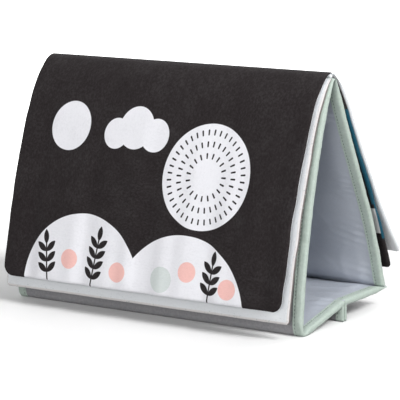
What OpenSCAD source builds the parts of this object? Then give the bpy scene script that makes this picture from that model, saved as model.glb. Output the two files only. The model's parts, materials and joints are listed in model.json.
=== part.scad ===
// Soft easel book for a floor or cot: three board-stiffened cloth panels stand as a tent, and padded
// cloth leaves hang from its ridge. X runs along the ridge, Y from the front to the back, Z up.
// The origin is the middle of the front foot, on the floor.

/* [Stand] */
// Width of the stand along its ridge, over the binding
stand_w = 300; // [240:5:360]
// Height of the ridge seam above the floor
ridge_z = 214; // [190:1:240]
// Distance of the ridge seam behind the front foot
ridge_y = 50; // [40:1:65]
// Distance of the rear fold behind the front foot
rear_y = 144; // [125:1:160]
// Height of the rear fold above the floor
rear_z = 17; // [12:1:24]
// Distance of the fin's middle behind the front foot
fin_y = 69; // [55:1:85]
// Height of the fin, from the floor to the base's underside
fin_h = 13.4; // [9:0.2:18]
// How far the front panel bulges out of the straight line between its folds
front_bulge = 11.5; // [4:0.5:14]
// How far the rear panel bulges out of the straight line between its folds
rear_bulge = 4.4; // [1:0.2:6]
// Distance from the rear fold to where the rear panel stands on the base
rear_panel_inset = 4; // [4:0.2:12]

/* [Cloth and boards] */
// Thickness of the padded outer cloth and of the lining
cloth_t = 1.2; // [0.8:0.1:2]
// Thickness of the stiffening boards
board_t = 2; // [1:0.1:3]
// Distance from the binding's inner edge to the board
board_margin = 5; // [1:1:20]
// Distance from a panel's lower fold to its board
board_setback = 9; // [5:1:20]
// Thickness of the binding tape
tape_t = 0.8; // [0.5:0.1:1.2]
// Width of the binding tape on each face
tape_w = 9; // [5:0.5:11]

/* [Fin] */
// Thickness of each fin flap's cloth core
flap_t = 1.2; // [1:0.1:3]
// Height of the hook and loop strips
strip_h = 5.5; // [4:0.5:8]
// Distance of the strips above the floor
strip_up = 1; // [0.5:0.5:3]
// Distance from the fin's ends to the strips
strip_margin = 16; // [10:1:40]

/* [Ridge seam] */
// Radius of the rolled seam that every leaf is sewn to
seam_r = 3.2; // [2.8:0.1:4]
// Share of a leaf's or panel's full thickness that is left at its seam
seam_share = 0.2; // [0.12:0.02:0.24]
// Length over which a leaf grows from its seam to its full thickness
seam_run = 20; // [16:1:30]

/* [Leaves] */
// Thickness of a padded leaf
leaf_t = 4; // [2.5:0.1:4.4]
// Radius of the front cover's lower corners
cover_corner_r = 9; // [4:0.5:16]
// Radius of the lower corners of the pages and of the back cover
page_corner_r = 3.5; // [2:0.5:12]
// Distance from the stand's sides to the sides of the front cover
cover_inset = 3.5; // [0:0.5:30]
// Distance from the stand's sides to the sides of the plain front page
front_page_inset = 1.5; // [0:0.5:30]
// Distance from the stand's sides to the sides of the back page and the back cover
back_inset = 1.5; // [0:0.5:30]
// Distance from the front page's sides to the ends of the ridge seam
seam_inset = 1; // [0:0.5:5]
// Length of the front cover from its seam
front_cover_l = 208; // [150:1:209]
// Length of the front page from its seam
front_page_l = 212; // [150:1:215]
// Length of the back page from its seam
back_page_l = 205; // [150:1:215]
// Length of the back cover from its seam
back_cover_l = 206; // [150:1:215]
// Width of the coloured border band on the rear of the back page
border_w = 11; // [5:0.5:20]
// Distance of that band from the back page's lower edge
border_up = 29; // [12:1:60]
// Width of the light block at each side of the back page's front
block_w = 22; // [10:1:40]
// Height of that block
block_h = 24; // [10:1:40]
// Distance of that block from the back page's lower edge
block_up = 34; // [20:1:90]

/* [Print] */
// Thickness of a printed field
ink_t = 0.3; // [0.2:0.05:0.5]
// Radius of the large pale moon
moon_r = 44; // [30:1:50]
// Radius of the small pale moon
small_moon_r = 21; // [12:1:26]
// Radius of the pink dots
dot_r = 8.5; // [5:0.5:11]
// Length of a printed dash
dash_l = 5; // [3:0.5:7]
// Width of a printed dash
dash_w = 1.5; // [1:0.1:2.2]
// Number of dashes around the outer ring of the large moon
dash_count = 40; // [20:1:46]

/* [Hidden] */

// Colours of the cloths, as the object shows them
mint = [0.78, 0.83, 0.79];
dark_grey = [0.44, 0.44, 0.46];
silver_grey = [0.60, 0.63, 0.69];
black_cloth = [0.17, 0.16, 0.16];
white_cloth = [0.90, 0.91, 0.93];
pale_blue = [0.80, 0.84, 0.90];
teal = [0.10, 0.35, 0.44];
pale_print = [0.89, 0.89, 0.92];
pink = [0.94, 0.76, 0.73];
grey_print = [0.83, 0.85, 0.85];
board_brown = [0.62, 0.55, 0.45];
strip_white = [0.88, 0.88, 0.86];

clear = 0.3;                            // gap between pieces that move past each other
pad_t = 2 * cloth_t + board_t;          // panel without its binding
bound_t = pad_t + 2 * tape_t;           // panel over its binding
fold_share = 0.45;                      // thickness left where a base half is pinched at its fold
fold_r = bound_t * fold_share / 2;      // half of that thickness
fold_run = 12;                          // length of that pinch
fold_gap = 0.9;                         // room at the front fold for the base to swing out flat
front_bulge_shape = [1, 1.2];           // how far a bulge is pushed down its panel, and how narrow it is
rear_bulge_shape = [1.45, 4];
steps = 20;                             // straight steps along a leaf or panel
crowd = 1.6;                            // crowds a leaf's steps towards its seam
beyond = 6;                             // how far a cutting tool runs past what it cuts
cover_w = stand_w - 2 * cover_inset;
front_page_w = stand_w - 2 * front_page_inset;
back_w = stand_w - 2 * back_inset;
seam_w = front_page_w - 2 * seam_inset;

// Directions at the ridge seam, in degrees from straight down, positive towards the back
front_panel_dir = -38;
rear_panel_dir = 22;
// A leaf's fall: direction at its seam, direction below its shoulder, how much straighter it hangs at
// its lower edge, and the power that keeps this change to its lower part
front_cover_fall = [-80, -25.3, -15.5, 1];
front_page_fall = [-60, -25, -15.7, 1];
back_page_fall = [47, 29.8, 12, 6];
back_cover_fall = [66, 29.5, -10.5, 2.4];
// Length of each leaf's shoulder, over which it turns from the one direction to the other
front_cover_shoulder = 17;
front_page_shoulder = 11.2;
back_page_shoulder = 12.8;
back_cover_shoulder = 12.8;

ridge = [ridge_y, ridge_z];
front_foot = [0, 0];
front_fold = [bound_t / 2 + fold_r + fold_gap, fold_r + clear / 2];
rear_fold = [rear_y, rear_z];
fin_top = [fin_y, fin_h + bound_t / 2];
rear_panel_foot = [rear_y - rear_panel_inset, rear_z + bound_t / 2];

// Room that what is z high on the front flap needs in front of the rear flap, to swing down around the
// front fold
function swing_room(z) = clear + pow(z - front_fold.y, 2) / (2 * (fin_y - front_fold.x));

fin_gap = swing_room(fin_h) / 2;        // from the fin's middle plane to its tape and the loop strip
flap_near = fin_gap + tape_t;           // from there to a flap's cloth core
flap_far = flap_near + flap_t;
hook_near = swing_room(strip_up + strip_h) - fin_gap;  // from there to the hook strip's face
swing_r = fin_y + fin_gap - front_fold.x - clear;  // how far the front base reaches from its fold

// Unit vector in the side view at an angle from straight down
function heading(a) = [sin(a), -cos(a)];
function seam_point(a) = ridge + (seam_r + clear) * heading(a);

// Middle line of a hanging leaf of length l, from its seam to its lower edge
function leaf_line(fall, shoulder, l) =
    let (at = function (i) l * pow(i / steps, crowd),
         lean = function (s) fall[1] + (fall[0] - fall[1]) * exp(-s / shoulder)
                            - fall[2] * pow(s / l, fall[3]))
    [for (i = 0, p = seam_point(fall[0]);
          i <= steps;
          p = p + (at(i + 1) - at(i)) * heading(lean((at(i) + at(i + 1)) / 2)), i = i + 1) p];

// Middle line of a panel from a to b, with its ends fixed and its middle bulging to one side. shape is
// how far the bulge is pushed towards b, from 1, and its power, which narrows it
function panel_line(a, b, bulge, shape) =
    let (out = [b.y - a.y, a.x - b.x] / norm(b - a), flat = straight_line(a, b))
    [for (i = [0:steps]) flat[i] + out * bulge * pow(sin(180 * pow(i / steps, shape[0])), shape[1])];

function straight_line(a, b) = [for (i = [0:steps]) a + (b - a) * (1 - cos(180 * i / steps)) / 2];

function last(list) = list[len(list) - 1];
function run_on(line, extra) = concat(line, [last(line) + extra]);
function past_end(line) = run_on(line, beyond * (last(line) - line[0]) / norm(last(line) - line[0]));

// Unit normals along a line, to the left of its direction of travel
function normals(line) =
    [for (i = [0:len(line) - 1])
        let (d = line[min(i + 1, len(line) - 1)] - line[max(i - 1, 0)])
        [-d.y, d.x] / norm(d)];

function arc_lengths(line) =
    [for (i = 0, s = 0;
          i < len(line);
          s = s + (i + 1 < len(line) ? norm(line[i + 1] - line[i]) : 0), i = i + 1) s];

// Share of the full thickness at each point: share at the first point, whole after run
function growth(line, share, run) = [for (s = arc_lengths(line)) min(1, share + (1 - share) * s / run)];

// Closed outline between two offsets of a line, thinned by the shares, from one of its points to
// another
function band(line, lo, hi, share, from = 0, to = undef) =
    let (n = normals(line), end = is_undef(to) ? len(line) - 1 : to)
    concat([for (i = [from:end]) line[i] + n[i] * lo * share[i]],
           [for (i = [end:-1:from]) line[i] + n[i] * hi * share[i]]);

front_line = run_on(panel_line(seam_point(front_panel_dir), front_foot, front_bulge, front_bulge_shape),
                    [0, -beyond]);
rear_line = run_on(panel_line(seam_point(rear_panel_dir), rear_panel_foot, -rear_bulge, rear_bulge_shape),
                   beyond * heading(rear_panel_dir));
base_front_line = past_end(straight_line(front_fold, fin_top));
base_rear_line = past_end(straight_line(rear_fold, fin_top));
front_share = growth(front_line, seam_share, seam_run);
rear_share = growth(rear_line, seam_share, seam_run);
base_front_share = growth(base_front_line, fold_share, fold_run);
base_rear_share = growth(base_rear_line, fold_share, fold_run);

front_cover_line = leaf_line(front_cover_fall, front_cover_shoulder, front_cover_l);
front_page_line = leaf_line(front_page_fall, front_page_shoulder, front_page_l);
back_page_line = leaf_line(back_page_fall, back_page_shoulder, back_page_l);
back_cover_line = leaf_line(back_cover_fall, back_cover_shoulder, back_cover_l);

// Carries a side view, drawn as [Y, Z], across the stand from x0 to x1
module across(x0, x1) {
    translate([x0, 0, 0]) rotate([90, 0, 90]) linear_extrude(x1 - x0) children();
}

// Keeps what stands above the floor
module on_floor() {
    intersection() {
        children();
        translate([-stand_w, -stand_w, 0]) cube([2 * stand_w, 3 * stand_w, 2 * ridge_z]);
    }
}

// Keeps what lies in front of the fin's middle plane and can swing down around the front fold
module before_fin() {
    intersection() {
        children();
        across(-stand_w, stand_w)
            translate([fin_y - fin_gap - 2 * stand_w, -stand_w]) square([2 * stand_w, 2 * stand_w]);
        translate([-stand_w, front_fold.x, front_fold.y]) rotate([0, 90, 0])
            cylinder(h = 2 * stand_w, r = swing_r, $fn = 96);
    }
}

// Keeps what lies behind the fin's middle plane
module behind_fin() {
    intersection() {
        children();
        across(-stand_w, stand_w)
            translate([fin_y + fin_gap, -stand_w]) square([2 * stand_w, 2 * stand_w]);
    }
}

// Upper side of the rear base, raised by the clearance
function base_rear_top() =
    let (n = normals(base_rear_line))
    [for (i = [0:steps]) base_rear_line[i] - n[i] * (bound_t / 2 * base_rear_share[i] + clear)];

// Cuts away what would reach into the base below the rear panel
module on_base() {
    difference() {
        children();
        across(-stand_w, stand_w)
            polygon(concat([[rear_y + beyond, -beyond], [rear_y + beyond, rear_z]],
                           base_rear_top(), [[fin_y, -beyond]]));
    }
}

// The three layers of a panel. side is 1 where the lining lies to the left of the line, else -1,
// and start is how far along the line the board begins
module outer_layer(line, share, side) {
    across(-stand_w / 2 + tape_t, stand_w / 2 - tape_t)
        polygon(band(line, -side * pad_t / 2, -side * board_t / 2, share));
}
module board_layer(line, share, start) {
    at = arc_lengths(line);
    end = last(at) - beyond - board_setback;
    inside = [for (i = [0:len(line) - 1]) if (at[i] > start && at[i] < end) i];
    half_w = stand_w / 2 - tape_w - board_margin;
    across(-half_w, half_w)
        polygon(band(line, -board_t / 2, board_t / 2, share, inside[0], last(inside)));
}
module lining_layer(line, share, side, start) {
    difference() {
        across(-stand_w / 2 + tape_t, stand_w / 2 - tape_t)
            polygon(band(line, -side * board_t / 2, side * pad_t / 2, share));
        board_layer(line, share, start);
    }
}

// Where the binding tape lies along X; hand is -1 on the left and 1 on the right
function tape_span(hand) =
    hand < 0 ? [-stand_w / 2, tape_w - stand_w / 2] : [stand_w / 2 - tape_w, stand_w / 2];

// Tape folded around one side edge of a panel
module edge_tape(line, share, hand) {
    edge = hand * stand_w / 2;
    span = tape_span(hand);
    difference() {
        across(span[0], span[1]) polygon(band(line, -bound_t / 2, bound_t / 2, share));
        across(min(0, edge - hand * tape_t), max(0, edge - hand * tape_t))
            polygon(band(line, -pad_t / 2, pad_t / 2, share));
    }
}

// The room that a bound base half takes, used to cut what meets it
module base_room(line, share) {
    across(-stand_w / 2, stand_w / 2) polygon(band(line, -pad_t / 2, pad_t / 2, share));
    for (hand = [-1, 1])
        let (span = tape_span(hand))
        across(span[0], span[1]) polygon(band(line, -bound_t / 2, bound_t / 2, share));
}

// An upright plate of the fin, between two distances from the fin's middle plane, on one side of it;
// side is -1 at the front and 1 at the back
module fin_plate(side, near, far, x0, x1) {
    y_near = fin_y + side * near;
    y_far = fin_y + side * far;
    across(x0, x1) translate([min(y_near, y_far), 0]) square([far - near, fin_top.y]);
}

module fin_flap(side, line, share) {
    difference() {
        fin_plate(side, flap_near, flap_far, -stand_w / 2 + tape_t, stand_w / 2 - tape_t);
        base_room(line, share);
    }
}
module fin_tape(side, line, share) {
    for (hand = [-1, 1])
        let (span = tape_span(hand))
        difference() {
            fin_plate(side, fin_gap, flap_far + tape_t, span[0], span[1]);
            fin_plate(side, flap_near, flap_far, -stand_w / 2 + tape_t, stand_w / 2 - tape_t);
            base_room(line, share);
        }
}
module fin_strip(side, near) {
    half_w = stand_w / 2 - strip_margin;
    across(-half_w, half_w)
        translate([min(fin_y + side * near, fin_y + side * flap_near), strip_up])
            square([flap_near - near, strip_h]);
}

// Lowest height that a leaf reaches
function leaf_foot(line) = last(line).y - leaf_t / 2 * abs(last(normals(line)).y);

// A hanging leaf with rounded lower corners
module leaf(line, w, corner_r) {
    intersection() {
        across(-w / 2, w / 2)
            polygon(band(line, -leaf_t / 2, leaf_t / 2, growth(line, seam_share, seam_run)));
        front_view() rounded_below(w, leaf_foot(line), ridge_z + beyond, corner_r);
    }
}

// Carries a front view, drawn as [X, Z], through the whole depth
module front_view() {
    translate([0, 3 * stand_w / 2, 0]) rotate([90, 0, 0]) linear_extrude(3 * stand_w) children();
}

// A rectangle from z0 up to z1 with its two lower corners rounded
module rounded_below(w, z0, z1, r) {
    translate([-w / 2, z0 + r]) square([w, z1 - z0 - r]);
    translate([-w / 2 + r, z0]) square([w - 2 * r, z1 - z0]);
    for (side = [-1, 1]) translate([side * (w / 2 - r), z0 + r]) circle(r, $fn = 48);
}

// A field printed or sewn on one face of a leaf, where the front view's outline falls on it.
// side is -1 on the front face and 1 on the rear face, and layer counts the fields below it
module field(line, side, layer, t) {
    share = growth(line, seam_share, seam_run);
    low = leaf_t / 2 + layer * ink_t;
    intersection() {
        across(-stand_w, stand_w)
            polygon(side < 0 ? band(line, -low - t, -low, share) : band(line, low, low + t, share));
        front_view() children();
    }
}

// Ridge seam
module ridge_seam() {
    color(white_cloth) translate([-seam_w / 2, ridge_y, ridge_z]) rotate([0, 90, 0])
        cylinder(h = seam_w, r = seam_r, $fn = 48);
}

// Front panel
module front_outer_cloth() { color(dark_grey) on_floor() outer_layer(front_line, front_share, 1); }
module front_board() { color(board_brown) board_layer(front_line, front_share, seam_run); }
module front_lining() { color(silver_grey) on_floor() lining_layer(front_line, front_share, 1, seam_run); }
module front_binding(hand) { color(mint) on_floor() edge_tape(front_line, front_share, hand); }

// Rear panel
module rear_outer_cloth() { color(dark_grey) on_base() outer_layer(rear_line, rear_share, -1); }
module rear_board() { color(board_brown) board_layer(rear_line, rear_share, seam_run); }
module rear_lining() { color(silver_grey) on_base() lining_layer(rear_line, rear_share, -1, seam_run); }
module rear_binding(hand) { color(mint) on_base() edge_tape(rear_line, rear_share, hand); }

// Front half of the base
module base_front_outer_cloth() {
    color(dark_grey) before_fin() outer_layer(base_front_line, base_front_share, 1);
}
module base_front_board() { color(board_brown) board_layer(base_front_line, base_front_share, fold_run); }
module base_front_lining() {
    color(silver_grey) before_fin() lining_layer(base_front_line, base_front_share, 1, fold_run);
}
module base_front_binding(hand) {
    color(mint) before_fin() edge_tape(base_front_line, base_front_share, hand);
}

// Rear half of the base
module base_rear_outer_cloth() {
    color(dark_grey) behind_fin() outer_layer(base_rear_line, base_rear_share, -1);
}
module base_rear_board() { color(board_brown) board_layer(base_rear_line, base_rear_share, fold_run); }
module base_rear_lining() {
    color(silver_grey) behind_fin() lining_layer(base_rear_line, base_rear_share, -1, fold_run);
}
module base_rear_binding(hand) {
    color(mint) behind_fin() edge_tape(base_rear_line, base_rear_share, hand);
}

// Fin: one flap hangs from each half of the base, and the strips hold the two together
module fin_front_flap() { color(dark_grey) fin_flap(-1, base_front_line, base_front_share); }
module fin_rear_flap() { color(dark_grey) fin_flap(1, base_rear_line, base_rear_share); }
module fin_front_binding() { color(mint) fin_tape(-1, base_front_line, base_front_share); }
module fin_rear_binding() { color(mint) fin_tape(1, base_rear_line, base_rear_share); }
module hook_strip() { color(strip_white) fin_strip(-1, hook_near); }
module loop_strip() { color(strip_white) fin_strip(1, fin_gap); }

// Leaves
module front_cover() { color(black_cloth) leaf(front_cover_line, cover_w, cover_corner_r); }
module front_page() { color(white_cloth) leaf(front_page_line, front_page_w, page_corner_r); }
module back_page() { color(black_cloth) leaf(back_page_line, back_w, page_corner_r); }
module back_cover() { color(pale_blue) leaf(back_cover_line, back_w, page_corner_r); }

back_page_foot = leaf_foot(back_page_line);
border_low = back_page_foot + border_up;
border_high = ridge_z - 1.5 * seam_run;
block_low = back_page_foot + block_up;

// A rectangle w wide at each side of the back page, from z0 up to z1
module side_bands(w, z0, z1) {
    for (hand = [-1, 1]) translate([hand * (back_w - w) / 2 - w / 2, z0]) square([w, z1 - z0]);
}
module back_page_border() {
    color(teal) field(back_page_line, 1, 0, ink_t) side_bands(border_w, border_low, border_high);
}
module back_page_block() {
    color(pale_print)
        field(back_page_line, -1, 0, ink_t) side_bands(block_w, block_low, block_low + block_h);
}

// Print on the front cover, as places in the front view: X, height above the cover's lower edge, and
// for a cloud's puffs, a hill or the grey disc its radius
big_moon = [56, 103];
small_moon = [-94, 135];
cloud = [[-44, 132, 13], [-24, 138, 18], [-3, 133, 14]];
hills = [[-62, 0, 62], [44, -12, 66]];
sprig_feet = [[-97, 2], [-50, 1], [72, 1]];
sprig_leans = [-8, 7, 6];
sprig_pairs = [3, 4, 3];
dots = [[-75, 22], [-22, 16], [50, 24], [92, 14]];
grey_disc = [24, 15, 11];
ring_radii = [0.84, 0.62, 0.4];
sprig_step = 9;
leaflet_l = 13;
leaflet_w = 5.5;
leaflet_angle = 48;

module disc(at, r) { translate(at) circle(r, $fn = 96); }

// A pointed leaflet that starts at the origin and grows upwards: the overlap of two circles
module leaflet(l, w) {
    r = (l * l + w * w) / (4 * w);
    intersection_for(side = [-1, 1])
        translate([side * (r - w / 2), l / 2]) circle(r, $fn = 64);
}

module dash() {
    square([dash_w, dash_l - dash_w], center = true);
    for (end = [-1, 1]) translate([0, end * (dash_l - dash_w) / 2]) circle(dash_w / 2, $fn = 16);
}

// A bent row of leaflet pairs with one on top; lean tilts it and pairs counts the pairs
module sprig(lean, pairs) {
    rotate(-lean) {
        translate([-dash_w / 2, 0]) square([dash_w, (pairs + 1) * sprig_step]);
        for (i = [1:pairs], side = [-1, 1])
            translate([0, i * sprig_step - leaflet_w / 2]) rotate(side * leaflet_angle)
                leaflet(leaflet_l, leaflet_w);
        translate([0, (pairs + 1) * sprig_step - leaflet_w]) leaflet(leaflet_l, leaflet_w);
    }
}

module dash_rings() {
    for (share = ring_radii)
        let (n = round(dash_count * share / ring_radii[0]))
        for (i = [0:n - 1])
            rotate(360 * (i + share) / n) translate([0, moon_r * share]) dash();
}

// Prints on the front cover; layer is 0 on the cloth and 1 on the pale fields
module print(layer) {
    field(front_cover_line, -1, layer, ink_t) translate([0, leaf_foot(front_cover_line)]) children();
}
module print_pale_fields() {
    color(pale_print) print(0) {
        disc(big_moon, moon_r);
        disc(small_moon, small_moon_r);
        for (puff = cloud) disc([puff.x, puff.y], puff.z);
        intersection() {
            for (hill = hills) disc([hill.x, hill.y], hill.z);
            rounded_below(cover_w, 0, ridge_z, cover_corner_r);
        }
    }
}
module print_dark_marks() {
    color(black_cloth) print(1) {
        translate(big_moon) dash_rings();
        for (i = [0:len(sprig_feet) - 1]) translate(sprig_feet[i]) sprig(sprig_leans[i], sprig_pairs[i]);
    }
}
module print_pink_dots() { color(pink) print(1) for (at = dots) disc(at, dot_r); }
module print_grey_disc() { color(grey_print) print(1) disc([grey_disc.x, grey_disc.y], grey_disc.z); }

ridge_seam();
front_outer_cloth();
front_board();
front_lining();
front_binding(-1);  // front_left_binding
front_binding(1);  // front_right_binding
rear_outer_cloth();
rear_board();
rear_lining();
rear_binding(-1);  // rear_left_binding
rear_binding(1);  // rear_right_binding
base_front_outer_cloth();
base_front_board();
base_front_lining();
base_front_binding(-1);  // base_front_left_binding
base_front_binding(1);  // base_front_right_binding
base_rear_outer_cloth();
base_rear_board();
base_rear_lining();
base_rear_binding(-1);  // base_rear_left_binding
base_rear_binding(1);  // base_rear_right_binding
fin_front_flap();
fin_rear_flap();
fin_front_binding();
fin_rear_binding();
hook_strip();
loop_strip();
front_cover();
front_page();
back_page();
back_page_border();
back_page_block();
back_cover();
print_pale_fields();
print_dark_marks();
print_pink_dots();
print_grey_disc();
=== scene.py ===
import json
import math

import bmesh
import bpy
import numpy as np
from mathutils import Matrix, Vector


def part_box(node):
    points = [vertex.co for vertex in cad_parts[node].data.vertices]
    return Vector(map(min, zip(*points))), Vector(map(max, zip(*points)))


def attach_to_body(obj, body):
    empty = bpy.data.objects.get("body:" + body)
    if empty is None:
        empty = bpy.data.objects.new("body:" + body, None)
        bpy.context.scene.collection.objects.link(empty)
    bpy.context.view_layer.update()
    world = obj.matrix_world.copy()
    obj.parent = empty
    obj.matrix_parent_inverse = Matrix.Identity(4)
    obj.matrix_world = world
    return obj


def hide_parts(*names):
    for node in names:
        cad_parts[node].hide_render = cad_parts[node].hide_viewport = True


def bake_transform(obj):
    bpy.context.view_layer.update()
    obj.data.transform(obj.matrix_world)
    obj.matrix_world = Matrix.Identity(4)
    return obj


# Soft easel book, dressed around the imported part. Metres: X along the ridge, Y front to back, Z up.
# A side view is a line of [Y, Z] points, and leaves, panels and tapes are swept along it.

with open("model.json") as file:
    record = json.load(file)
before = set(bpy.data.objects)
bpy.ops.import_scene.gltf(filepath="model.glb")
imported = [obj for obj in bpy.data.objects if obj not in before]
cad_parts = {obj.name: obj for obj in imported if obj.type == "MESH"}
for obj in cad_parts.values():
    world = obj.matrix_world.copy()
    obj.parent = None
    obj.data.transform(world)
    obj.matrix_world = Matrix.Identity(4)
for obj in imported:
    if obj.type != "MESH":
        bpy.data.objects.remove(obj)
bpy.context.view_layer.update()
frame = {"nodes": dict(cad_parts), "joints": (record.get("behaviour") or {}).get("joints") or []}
joints = {joint["name"]: joint for joint in frame["joints"]}
ridge = np.array(joints["stand_open"]["pos_m"][1:])  # ridge seam
frontFold = np.array(joints["front_base_open"]["pos_m"][1:])  # fold under the front foot
rearTip = np.array(joints["rear_base_open"]["pos_m"][1:])  # rear edge, where base and panel join


def boxOf(node):
    low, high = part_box(node)
    return np.array(low), np.array(high)


standHalf = boxOf("front_right_binding")[1][0]


# Side-view lines

def heading(degrees):  # unit vector from straight down, positive to the back
    angle = np.radians(degrees)
    return np.stack([np.sin(angle), -np.cos(angle)], axis=-1)


def lengthsAlong(line):
    return np.concatenate([[0], np.cumsum(np.linalg.norm(np.diff(line, axis=0), axis=1))])


def valuesAt(line, values, places):  # what belongs to a line's points, read at places along it
    along = lengthsAlong(line)
    return np.stack([np.interp(places, along, values[:, axis]) for axis in (0, 1)], axis=-1)


def pointsAt(line, places):
    return valuesAt(line, line, places)


def normalsAt(line, places):  # to the line's left
    step = np.gradient(line, axis=0)
    step /= np.linalg.norm(step, axis=1)[:, None]
    normal = valuesAt(line, np.stack([-step[:, 1], step[:, 0]], axis=1), places)
    return normal / np.linalg.norm(normal, axis=1)[:, None]


def rounded(corners, times=4):  # cuts the corners of a line until it is a curve
    line = np.array(corners, float)
    for _ in range(times):
        cut = np.stack([line[:-1] * 0.75 + line[1:] * 0.25, line[:-1] * 0.25 + line[1:] * 0.75], axis=1)
        line = np.concatenate([line[:1], cut.reshape(-1, 2), line[-1:]])
    return line


def panelLine(start, end, bulge, shape, count=70):
    share = np.linspace(0, 1, count)
    out = np.array([end[1] - start[1], start[0] - end[0]]) / np.linalg.norm(end - start)
    rise = bulge * np.sin(math.pi * share ** shape[0]) ** shape[1]
    return start + np.outer((1 - np.cos(math.pi * share)) / 2, end - start) + np.outer(rise, out)


def leafLine(leaf, count=240):
    first, below, straighter, power = leaf["fall"]
    along = (np.arange(count) + 0.5) / count
    fading = np.exp(-along * leaf["length"] / leaf["shoulder"])
    lean = below + (first - below) * fading - straighter * along ** power
    start = ridge + seam["reach"] * heading(first)
    return np.concatenate([[start], start + np.cumsum(heading(lean) * leaf["length"] / count, axis=0)])


sleeveCurve = {"arcPoints": 12, "points": 16, "probe": 0.001, "pull": 0.4}


def overRidge(line, sleeve):  # lets a leaf start on top of the ridge instead of at its side
    arc = ridge + sleeve["radius"] * heading(np.linspace(*sleeve["turn"], sleeveCurve["arcPoints"]))
    along = lengthsAlong(line)
    join, beyond = pointsAt(line, [sleeve["joinAt"], sleeve["joinAt"] + sleeveCurve["probe"]])
    leave = (arc[-1] - arc[-2]) / np.linalg.norm(arc[-1] - arc[-2])
    arrive = (beyond - join) / np.linalg.norm(beyond - join)
    pull = np.linalg.norm(join - arc[-1]) * sleeveCurve["pull"]
    knots = [arc[-1], arc[-1] + leave * pull, join - arrive * pull, join]
    share = np.linspace(0, 1, sleeveCurve["points"])[1:-1, None]
    weights = [(1 - share) ** 3, 3 * share * (1 - share) ** 2, 3 * share ** 2 * (1 - share), share ** 3]
    curve = sum(weight * knot for weight, knot in zip(weights, knots))
    return np.concatenate([arc, curve, line[along > sleeve["joinAt"]]])


# Meshes

noiseCells, noiseShift = 64, 20  # cells each way, and what keeps their numbers above zero


def softNoise(across, along, size, seed):  # smooth random field from -1 to 1
    cells = np.random.default_rng(seed).uniform(-1, 1, (noiseCells, noiseCells))
    u, v = across / size + noiseShift, along / size + noiseShift
    i, j = np.floor(u).astype(int), np.floor(v).astype(int)
    f, g = u - i, v - j
    f, g = (k ** 3 * (k * (6 * k - 15) + 10) for k in (f, g))

    def cell(a, b):
        return cells[a % noiseCells, b % noiseCells]
    return (cell(i, j) * (1 - f) + cell(i + 1, j) * f) * (1 - g) \
        + (cell(i, j + 1) * (1 - f) + cell(i + 1, j + 1) * f) * g


def eased(value):
    share = np.clip(value, 0, 1)
    return share * share * (3 - 2 * share)


def roundedOff(fromEdge, radius):  # the share of a thickness that is left near a rounded edge
    return np.sqrt(1 - (1 - np.clip(fromEdge / radius, 0, 1)) ** 2)


def crowdedPlaces(length, startSteps, endSteps, pitch):
    first, final = np.array(startSteps), length - np.array(endSteps)[::-1]
    count = int((final[0] - first[-1]) / pitch) + 2
    return np.concatenate([first, np.linspace(first[-1], final[0], count)[1:-1], final])


def gridQuads(rows, columns, first=0):
    corner = first + (np.arange(rows - 1)[:, None] * columns + np.arange(columns - 1)).ravel()
    return np.stack([corner, corner + 1, corner + columns + 1, corner + columns], axis=1)


def rimQuads(rows, columns, other):  # joins the borders of two grids, the second one from other on
    edge = np.concatenate([
        np.arange(columns), np.arange(1, rows) * columns + columns - 1,
        (rows - 1) * columns + np.arange(columns - 2, -1, -1), np.arange(rows - 2, 0, -1) * columns])
    after = np.roll(edge, -1)
    return np.stack([edge, edge + other, after + other, after], axis=1)


def linked(name, data):
    piece = bpy.data.objects.new(name, data)
    bpy.context.scene.collection.objects.link(piece)
    return piece


def makePiece(name, points, quads, cloth, materials, slots=None):
    mesh = bpy.data.meshes.new(name)
    mesh.from_pydata(points.reshape(-1, 3).tolist(), [], quads.tolist())
    spots = mesh.attributes.new("cloth", "FLOAT_VECTOR", "POINT")
    spots.data.foreach_set("vector", cloth.astype(np.float32).ravel())
    for material in materials:
        mesh.materials.append(material)
    if slots is not None:
        mesh.polygons.foreach_set("material_index", slots.astype(np.int32))
    work = bmesh.new()
    work.from_mesh(mesh)
    bmesh.ops.remove_doubles(work, verts=work.verts, dist=1e-6)
    bmesh.ops.recalc_face_normals(work, faces=work.faces)
    work.to_mesh(mesh)
    work.free()
    mesh.polygons.foreach_set("use_smooth", np.ones(len(mesh.polygons), bool))
    return linked(name, mesh)


# Points at places along a line, across the stand, offset to the line's left and kept off the floor
def sweep(line, places, across, offset):
    side = pointsAt(line, places)[:, None] + normalsAt(line, places)[:, None] * offset[..., None]
    side[..., 1] = np.maximum(side[..., 1], stand["floor"])
    return np.concatenate([np.broadcast_to(across, offset.shape)[..., None], side], axis=-1)


# A layer between two offsets from a line, which keeps how far in from its edge each point is
def slabPiece(name, line, places, x, offsets, materials, inward=0.0):
    rows, columns = x.shape
    count = rows * columns
    front, rear = gridQuads(rows, columns), gridQuads(rows, columns, count)
    quads = np.concatenate([front, rear, rimQuads(rows, columns, count)])
    slots = np.zeros(len(quads), int)
    slots[len(front):len(front) + len(rear)] = len(materials) - 1
    points = np.concatenate([sweep(line, places, x, offset).reshape(-1, 3) for offset in offsets])
    cloth = np.stack(np.broadcast_arrays(x, places[:, None], inward), axis=-1).reshape(-1, 3)
    return makePiece(name, points, quads, np.concatenate([cloth, cloth]), materials, slots)


# Materials

def feed(tree, node, inputs):  # links what is a socket, and sets what is a value or a colour
    for name, value in inputs.items():
        socket = node.inputs[name]
        if isinstance(value, bpy.types.NodeSocket):
            tree.links.new(value, socket)
        else:
            socket.default_value = (*value, 1) if socket.type == "RGBA" else value


def calc(tree, operation, *values, clamp=False):
    node = tree.nodes.new("ShaderNodeMath")
    node.operation = operation
    node.use_clamp = clamp
    feed(tree, node, dict(enumerate(values)))
    return node.outputs[0]


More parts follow.
